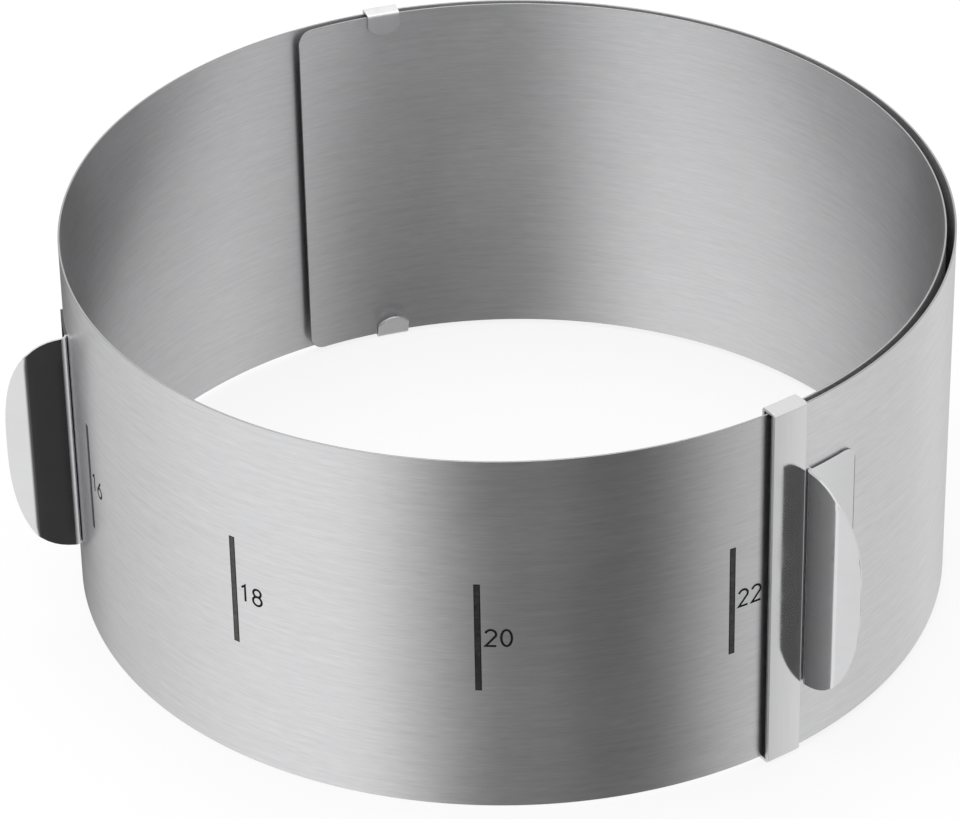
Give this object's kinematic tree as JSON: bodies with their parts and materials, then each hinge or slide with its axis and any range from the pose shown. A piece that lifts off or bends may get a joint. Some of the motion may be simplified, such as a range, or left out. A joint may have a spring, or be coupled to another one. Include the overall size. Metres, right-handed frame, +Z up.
{
  "type": "adjustable cake ring",
  "caption": "Tall sprung steel band wound on itself as a round cake ring; two finger grips slide it through a guide strip to any size on its scale.",
  "frame": {"origin": "on the ring's axis, at the level that the ring stands on", "axes": "+Z up along the ring's axis, -Y towards the front of the picture, where the ring's own scale shows"},
  "size_m": [0.2374, 0.223, 0.1019],
  "materials": {
    "brushed_band": "stainless sheet brushed along the band, bright cut rims, dark etched scale",
    "polished_fittings": "mirror-polished stainless sheet"
  },
  "bodies": {
    "section_01": {"band_01": "brushed_band", "guide_strip": "polished_fittings", "right_grip": "polished_fittings"},
    "section_02": {"band_02": "brushed_band"},
    "section_03": {"band_03": "brushed_band"},
    "section_04": {"band_04": "brushed_band"},
    "section_05": {"band_05": "brushed_band"},
    "section_06": {"band_06": "brushed_band"},
    "section_07": {"band_07": "brushed_band"},
    "section_08": {"band_08": "brushed_band"},
    "section_09": {"band_09": "brushed_band"},
    "section_10": {"band_10": "brushed_band"},
    "section_11": {"band_11": "brushed_band"},
    "section_12": {"band_12": "brushed_band"},
    "section_13": {"band_13": "brushed_band"},
    "section_14": {"band_14": "brushed_band"},
    "section_15": {"band_15": "brushed_band"},
    "section_16": {"band_16": "brushed_band"},
    "section_17": {"band_17": "brushed_band", "left_grip": "polished_fittings"},
    "section_18": {"band_18": "brushed_band"},
    "section_19": {"band_19": "brushed_band"},
    "section_20": {"band_20": "brushed_band"},
    "section_21": {"band_21": "brushed_band"},
    "section_22": {"band_22": "brushed_band"},
    "section_23": {"band_23": "brushed_band"},
    "section_24": {"band_24": "brushed_band"},
    "section_25": {"band_25": "brushed_band"},
    "section_26": {"band_26": "brushed_band"},
    "section_27": {"band_27": "brushed_band"},
    "section_28": {"band_28": "brushed_band"},
    "section_29": {"band_29": "brushed_band"},
    "section_30": {"band_30": "brushed_band"},
    "section_31": {"band_31": "brushed_band"},
    "section_32": {"band_32": "brushed_band"},
    "section_33": {"band_33": "brushed_band"},
    "section_34": {"band_34": "brushed_band"},
    "section_35": {"band_35": "brushed_band"},
    "section_36": {"band_36": "brushed_band", "upper_clip": "polished_fittings", "lower_clip": "polished_fittings"}
  },
  "joints": [
    {"name": "ring_size", "type": "hinge", "parent": "section_18", "child": "section_19", "pos_m": [-0.09398, -0.05924, 0.05095], "axis": [0, 0, 1], "range_deg": [-3.86, 5.47]},
    {"name": "band_bend_19", "type": "hinge", "parent": "section_19", "child": "section_20", "pos_m": [-0.07555, -0.08135, 0.05095], "axis": [0, 0, 1], "range_deg": [-3.86, 5.47]},
    {"name": "band_bend_20", "type": "hinge", "parent": "section_20", "child": "section_21", "pos_m": [-0.05207, -0.09798, 0.05095], "axis": [0, 0, 1], "range_deg": [-3.86, 5.47]},
    {"name": "band_bend_21", "type": "hinge", "parent": "section_21", "child": "section_22", "pos_m": [-0.02509, -0.10801, 0.05095], "axis": [0, 0, 1], "range_deg": [-3.86, 5.48]},
    {"name": "band_bend_22", "type": "hinge", "parent": "section_22", "child": "section_23", "pos_m": [0.00356, -0.11075, 0.05095], "axis": [0, 0, 1], "range_deg": [-3.87, 5.48]},
    {"name": "band_bend_23", "type": "hinge", "parent": "section_23", "child": "section_24", "pos_m": [0.03195, -0.10603, 0.05095], "axis": [0, 0, 1], "range_deg": [-3.88, 5.5]},
    {"name": "band_bend_24", "type": "hinge", "parent": "section_24", "child": "section_25", "pos_m": [0.05816, -0.09415, 0.05095], "axis": [0, 0, 1], "range_deg": [-3.89, 5.52]},
    {"name": "band_bend_25", "type": "hinge", "parent": "section_25", "child": "section_26", "pos_m": [0.08038, -0.07587, 0.05095], "axis": [0, 0, 1], "range_deg": [-3.91, 5.54]},
    {"name": "band_bend_26", "type": "hinge", "parent": "section_26", "child": "section_27", "pos_m": [0.09698, -0.05237, 0.05095], "axis": [0, 0, 1], "range_deg": [-3.92, 5.56]},
    {"name": "band_bend_27", "type": "hinge", "parent": "section_27", "child": "section_28", "pos_m": [0.10688, -0.02534, 0.05095], "axis": [0, 0, 1], "range_deg": [-3.94, 5.59]},
    {"name": "band_bend_28", "type": "hinge", "parent": "section_28", "child": "section_29", "pos_m": [0.10955, 0.00332, 0.05095], "axis": [0, 0, 1], "range_deg": [-3.96, 5.61]},
    {"name": "band_bend_29", "type": "hinge", "parent": "section_29", "child": "section_30", "pos_m": [0.10489, 0.03173, 0.05095], "axis": [0, 0, 1], "range_deg": [-3.97, 5.63]},
    {"name": "band_bend_30", "type": "hinge", "parent": "section_30", "child": "section_31", "pos_m": [0.09317, 0.05802, 0.05095], "axis": [0, 0, 1], "range_deg": [-3.98, 5.64]},
    {"name": "band_bend_31", "type": "hinge", "parent": "section_31", "child": "section_32", "pos_m": [0.07507, 0.08039, 0.05095], "axis": [0, 0, 1], "range_deg": [-3.97, 5.63]},
    {"name": "band_bend_32", "type": "hinge", "parent": "section_32", "child": "section_33", "pos_m": [0.05171, 0.09719, 0.05095], "axis": [0, 0, 1], "range_deg": [-3.95, 5.6]},
    {"name": "band_bend_33", "type": "hinge", "parent": "section_33", "child": "section_34", "pos_m": [0.02473, 0.10719, 0.05095], "axis": [0, 0, 1], "range_deg": [-3.9, 5.53]},
    {"name": "band_bend_34", "type": "hinge", "parent": "section_34", "child": "section_35", "pos_m": [-0.00393, 0.10975, 0.05095], "axis": [0, 0, 1], "range_deg": [-3.82, 5.41]},
    {"name": "band_bend_35", "type": "hinge", "parent": "section_35", "child": "section_36", "pos_m": [-0.03226, 0.10469, 0.05095], "axis": [0, 0, 1], "range_deg": [-3.69, 5.23]},
    {"name": "band_bend_17", "type": "hinge", "parent": "section_18", "child": "section_17", "pos_m": [-0.10611, -0.03314, 0.05095], "axis": [0, 0, -1], "range_deg": [-3.86, 5.47]},
    {"name": "band_bend_16", "type": "hinge", "parent": "section_17", "child": "section_16", "pos_m": [-0.11113, -0.0048, 0.05095], "axis": [0, 0, -1], "range_deg": [-3.86, 5.47]},
    {"name": "band_bend_15", "type": "hinge", "parent": "section_16", "child": "section_15", "pos_m": [-0.10871, 0.02388, 0.05095], "axis": [0, 0, -1], "range_deg": [-3.86, 5.46]},
    {"name": "band_bend_14", "type": "hinge", "parent": "section_15", "child": "section_14", "pos_m": [-0.09902, 0.05098, 0.05095], "axis": [0, 0, -1], "range_deg": [-3.85, 5.46]},
    {"name": "band_bend_13", "type": "hinge", "parent": "section_14", "child": "section_13", "pos_m": [-0.08271, 0.07469, 0.05095], "axis": [0, 0, -1], "range_deg": [-3.84, 5.44]},
    {"name": "band_bend_12", "type": "hinge", "parent": "section_13", "child": "section_12", "pos_m": [-0.06087, 0.09344, 0.05095], "axis": [0, 0, -1], "range_deg": [-3.83, 5.43]},
    {"name": "band_bend_11", "type": "hinge", "parent": "section_12", "child": "section_11", "pos_m": [-0.03496, 0.10597, 0.05095], "axis": [0, 0, -1], "range_deg": [-3.82, 5.41]},
    {"name": "band_bend_10", "type": "hinge", "parent": "section_11", "child": "section_10", "pos_m": [-0.0067, 0.11145, 0.05095], "axis": [0, 0, -1], "range_deg": [-3.8, 5.38]},
    {"name": "band_bend_09", "type": "hinge", "parent": "section_10", "child": "section_09", "pos_m": [0.02201, 0.10953, 0.05095], "axis": [0, 0, -1], "range_deg": [-3.78, 5.36]},
    {"name": "band_bend_08", "type": "hinge", "parent": "section_09", "child": "section_08", "pos_m": [0.04929, 0.10034, 0.05095], "axis": [0, 0, -1], "range_deg": [-3.77, 5.34]},
    {"name": "band_bend_07", "type": "hinge", "parent": "section_08", "child": "section_07", "pos_m": [0.07331, 0.08449, 0.05095], "axis": [0, 0, -1], "range_deg": [-3.75, 5.32]},
    {"name": "band_bend_06", "type": "hinge", "parent": "section_07", "child": "section_06", "pos_m": [0.09249, 0.06304, 0.05095], "axis": [0, 0, -1], "range_deg": [-3.75, 5.31]},
    {"name": "band_bend_05", "type": "hinge", "parent": "section_06", "child": "section_05", "pos_m": [0.10557, 0.0374, 0.05095], "axis": [0, 0, -1], "range_deg": [-3.76, 5.33]},
    {"name": "band_bend_04", "type": "hinge", "parent": "section_05", "child": "section_04", "pos_m": [0.11169, 0.00927, 0.05095], "axis": [0, 0, -1], "range_deg": [-3.78, 5.36]},
    {"name": "band_bend_03", "type": "hinge", "parent": "section_04", "child": "section_03", "pos_m": [0.11044, -0.01948, 0.05095], "axis": [0, 0, -1], "range_deg": [-3.84, 5.44]},
    {"name": "band_bend_02", "type": "hinge", "parent": "section_03", "child": "section_02", "pos_m": [0.10191, -0.04697, 0.05095], "axis": [0, 0, -1], "range_deg": [-3.92, 5.55]},
    {"name": "band_bend_01", "type": "hinge", "parent": "section_02", "child": "section_01", "pos_m": [0.08667, -0.07138, 0.05095], "axis": [0, 0, -1], "range_deg": [-4.04, 5.73]}
  ],
  "couplings": [
    {"joint": "band_bend_19", "follows": "ring_size", "ratio": 1},
    {"joint": "band_bend_20", "follows": "ring_size", "ratio": 1.0004},
    {"joint": "band_bend_21", "follows": "ring_size", "ratio": 1.0012},
    {"joint": "band_bend_22", "follows": "ring_size", "ratio": 1.0027},
    {"joint": "band_bend_23", "follows": "ring_size", "ratio": 1.005},
    {"joint": "band_bend_24", "follows": "ring_size", "ratio": 1.0082},
    {"joint": "band_bend_25", "follows": "ring_size", "ratio": 1.0122},
    {"joint": "band_bend_26", "follows": "ring_size", "ratio": 1.0168},
    {"joint": "band_bend_27", "follows": "ring_size", "ratio": 1.0216},
    {"joint": "band_bend_28", "follows": "ring_size", "ratio": 1.0261},
    {"joint": "band_bend_29", "follows": "ring_size", "ratio": 1.0295},
    {"joint": "band_bend_30", "follows": "ring_size", "ratio": 1.031},
    {"joint": "band_bend_31", "follows": "ring_size", "ratio": 1.0292},
    {"joint": "band_bend_32", "follows": "ring_size", "ratio": 1.0228},
    {"joint": "band_bend_33", "follows": "ring_size", "ratio": 1.0101},
    {"joint": "band_bend_34", "follows": "ring_size", "ratio": 0.98889},
    {"joint": "band_bend_35", "follows": "ring_size", "ratio": 0.95689},
    {"joint": "band_bend_17", "follows": "ring_size", "ratio": 0.99998},
    {"joint": "band_bend_16", "follows": "ring_size", "ratio": 0.99971},
    {"joint": "band_bend_15", "follows": "ring_size", "ratio": 0.99897},
    {"joint": "band_bend_14", "follows": "ring_size", "ratio": 0.99757},
    {"joint": "band_bend_13", "follows": "ring_size", "ratio": 0.99538},
    {"joint": "band_bend_12", "follows": "ring_size", "ratio": 0.99237},
    {"joint": "band_bend_11", "follows": "ring_size", "ratio": 0.9886},
    {"joint": "band_bend_10", "follows": "ring_size", "ratio": 0.98428},
    {"joint": "band_bend_09", "follows": "ring_size", "ratio": 0.97977},
    {"joint": "band_bend_08", "follows": "ring_size", "ratio": 0.9756},
    {"joint": "band_bend_07", "follows": "ring_size", "ratio": 0.97251},
    {"joint": "band_bend_06", "follows": "ring_size", "ratio": 0.97144},
    {"joint": "band_bend_05", "follows": "ring_size", "ratio": 0.97359},
    {"joint": "band_bend_04", "follows": "ring_size", "ratio": 0.98042},
    {"joint": "band_bend_03", "follows": "ring_size", "ratio": 0.99365},
    {"joint": "band_bend_02", "follows": "ring_size", "ratio": 1.0153},
    {"joint": "band_bend_01", "follows": "ring_size", "ratio": 1.0479}
  ]
}
